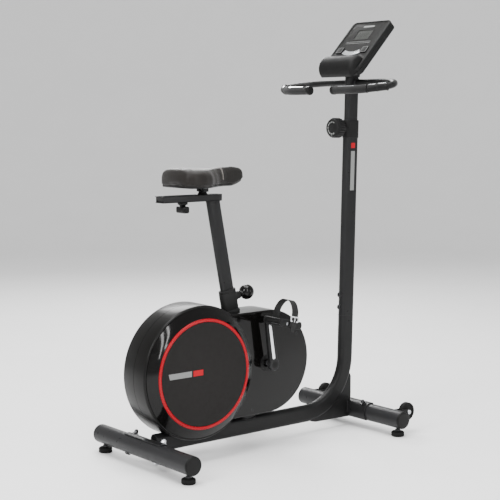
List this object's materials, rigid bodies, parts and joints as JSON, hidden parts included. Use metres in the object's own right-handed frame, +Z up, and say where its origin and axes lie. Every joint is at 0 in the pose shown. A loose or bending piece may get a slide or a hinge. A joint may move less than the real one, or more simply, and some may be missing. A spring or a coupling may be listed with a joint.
{
  "type": "exercise bike",
  "caption": "Upright stationary exercise bike: tube frame with geared flywheel drive, pedals, sliding saddle, looped handlebar and tilted console.",
  "frame": {"origin": "on the floor, under the middle of the bike's overall box", "axes": "+X forward, from the saddle to the handlebar; +Y to the rider's left; +Z up"},
  "size_m": [1.0348, 0.5356, 1.4178],
  "materials": {
    "frame_steel": "satin black powder coat",
    "black_plastic": "fine-textured moulded plastic",
    "gloss_black": "high gloss",
    "matte_black": "matte charcoal",
    "accent_red": "gloss",
    "rubber": "matte",
    "foam": "dense foam",
    "bright_metal": "satin plate",
    "zinc_steel": "zinc plated",
    "cast_iron": "machined",
    "display": "clear window over a grey panel",
    "vinyl": "fine-grained vinyl"
  },
  "bodies": {
    "frame": {"main_frame": "frame_steel", "rear_stabiliser": "frame_steel", "front_stabiliser": "frame_steel", "rear_end_cap_left": "black_plastic", "rear_end_cap_right": "black_plastic", "front_end_cap_left": "black_plastic", "front_end_cap_right": "black_plastic", "rear_bolt_left": "zinc_steel", "rear_bolt_right": "zinc_steel", "front_bolt_left": "zinc_steel", "front_bolt_right": "zinc_steel", "upper_post": "frame_steel", "post_bolts": "zinc_steel", "tension_collar": "black_plastic", "tension_cable": "rubber", "handlebar_stem": "frame_steel", "handlebar": "frame_steel", "grip_left": "foam", "grip_right": "foam", "pulse_sensor_left": "bright_metal", "pulse_sensor_right": "bright_metal", "console_bracket": "frame_steel", "console_rear_shell": "black_plastic", "console_front_shell": "matte_black", "display_lens": "display", "housing_left": "gloss_black", "housing_right": "gloss_black", "side_disc_left": "matte_black", "side_disc_right": "matte_black", "side_ring_left": "accent_red", "side_ring_right": "accent_red", "crank_bearing": "zinc_steel", "drive_belt": "rubber", "flywheel_axle": "zinc_steel", "seat_bushing": "black_plastic"},
    "crank": {"crank_axle": "zinc_steel", "drive_pulley": "black_plastic", "crank_arm_left": "frame_steel", "crank_arm_right": "frame_steel"},
    "pedal_left": {"pedal_left": "black_plastic", "foot_strap_left": "rubber"},
    "pedal_right": {"pedal_right": "black_plastic", "foot_strap_right": "rubber"},
    "flywheel": {"flywheel": "cast_iron"},
    "magnet_bracket": {"magnet_bracket": "cast_iron"},
    "tension_knob": {"tension_knob": "black_plastic"},
    "seat_post": {"seat_post": "frame_steel"},
    "seat_pin": {"seat_pin": "black_plastic"},
    "saddle_carriage": {"saddle_carriage": "frame_steel"},
    "saddle_lock": {"saddle_lock": "black_plastic"},
    "saddle": {"saddle_base": "black_plastic", "saddle_pad": "vinyl"},
    "rear_foot_left": {"rear_foot_left": "rubber"},
    "rear_foot_right": {"rear_foot_right": "rubber"},
    "front_foot_left": {"front_foot_left": "rubber"},
    "front_foot_right": {"front_foot_right": "rubber"},
    "transport_wheel_left": {"transport_wheel_left": "rubber"},
    "console_button_left": {"console_button_left": "black_plastic"},
    "transport_wheel_right": {"transport_wheel_right": "rubber"},
    "console_button_right": {"console_button_right": "black_plastic"}
  },
  "joints": [
    {"name": "flywheel_spin", "type": "hinge", "parent": "frame", "child": "flywheel", "pos_m": [-0.30341, 0, 0.284], "axis": [0, 1, 0], "continuous": true},
    {"name": "crank_spin", "type": "hinge", "parent": "frame", "child": "crank", "pos_m": [-0.03541, 0, 0.284], "axis": [0, 1, 0], "continuous": true},
    {"name": "pedal_left_spin", "type": "hinge", "parent": "crank", "child": "pedal_left", "pos_m": [-0.01324, 0.15, 0.13565], "axis": [0, 1, 0], "continuous": true},
    {"name": "pedal_right_spin", "type": "hinge", "parent": "crank", "child": "pedal_right", "pos_m": [-0.05758, -0.15, 0.43235], "axis": [0, 1, 0], "continuous": true},
    {"name": "tension_turn", "type": "hinge", "parent": "frame", "child": "tension_knob", "pos_m": [0.3928, 0, 1.046], "axis": [-0.9997, 0, 0.0248], "range_deg": [0, 315]},
    {"name": "magnet_swing", "type": "hinge", "parent": "frame", "child": "magnet_bracket", "pos_m": [-0.26252, 0, 0.13138], "axis": [0, 1, 0], "range_deg": [0, 5]},
    {"name": "seat_height", "type": "slide", "parent": "frame", "child": "seat_post", "axis": [-0.1908, 0, 0.9816], "range_m": [-0.17, 0.06]},
    {"name": "seat_pin_pull", "type": "slide", "parent": "frame", "child": "seat_pin", "axis": [0.9816, 0, 0.1908], "range_m": [0, 0.009], "stiffness_N_per_m": 600},
    {"name": "saddle_slide", "type": "slide", "parent": "seat_post", "child": "saddle_carriage", "axis": [1, 0, 0], "range_m": [-0.05, 0.035]},
    {"name": "saddle_lock_turn", "type": "hinge", "parent": "saddle_carriage", "child": "saddle_lock", "pos_m": [-0.32741, 0, 0.8], "axis": [0, 0, 1], "range_deg": [-180, 180]},
    {"name": "saddle_tilt", "type": "hinge", "parent": "saddle_carriage", "child": "saddle", "pos_m": [-0.24941, 0, 0.858], "axis": [0, 1, 0], "range_deg": [-8, 8]},
    {"name": "transport_wheel_left_spin", "type": "hinge", "parent": "frame", "child": "transport_wheel_left", "pos_m": [0.47259, 0.206, 0.072], "axis": [0, 1, 0], "continuous": true},
    {"name": "transport_wheel_right_spin", "type": "hinge", "parent": "frame", "child": "transport_wheel_right", "pos_m": [0.47259, -0.206, 0.072], "axis": [0, 1, 0], "continuous": true},
    {"name": "rear_foot_left_turn", "type": "hinge", "parent": "frame", "child": "rear_foot_left", "pos_m": [-0.47741, 0.228, 0.03], "axis": [0, 0, 1], "range_deg": [-180, 180]},
    {"name": "rear_foot_right_turn", "type": "hinge", "parent": "frame", "child": "rear_foot_right", "pos_m": [-0.47741, -0.228, 0.03], "axis": [0, 0, 1], "range_deg": [-180, 180]},
    {"name": "front_foot_left_turn", "type": "hinge", "parent": "frame", "child": "front_foot_left", "pos_m": [0.40959, 0.228, 0.03], "axis": [0, 0, 1], "range_deg": [-180, 180]},
    {"name": "front_foot_right_turn", "type": "hinge", "parent": "frame", "child": "front_foot_right", "pos_m": [0.40959, -0.228, 0.03], "axis": [0, 0, 1], "range_deg": [-180, 180]},
    {"name": "button_left_press", "type": "slide", "parent": "frame", "child": "console_button_left", "axis": [0.7242, 0, -0.6896], "range_m": [0, 0.0015], "stiffness_N_per_m": 500},
    {"name": "button_right_press", "type": "slide", "parent": "frame", "child": "console_button_right", "axis": [0.7242, 0, -0.6896], "range_m": [0, 0.0015], "stiffness_N_per_m": 500}
  ],
  "couplings": [
    {"joint": "crank_spin", "follows": "flywheel_spin", "ratio": 0.2},
    {"joint": "magnet_swing", "follows": "tension_turn", "ratio": 0.015873}
  ]
}
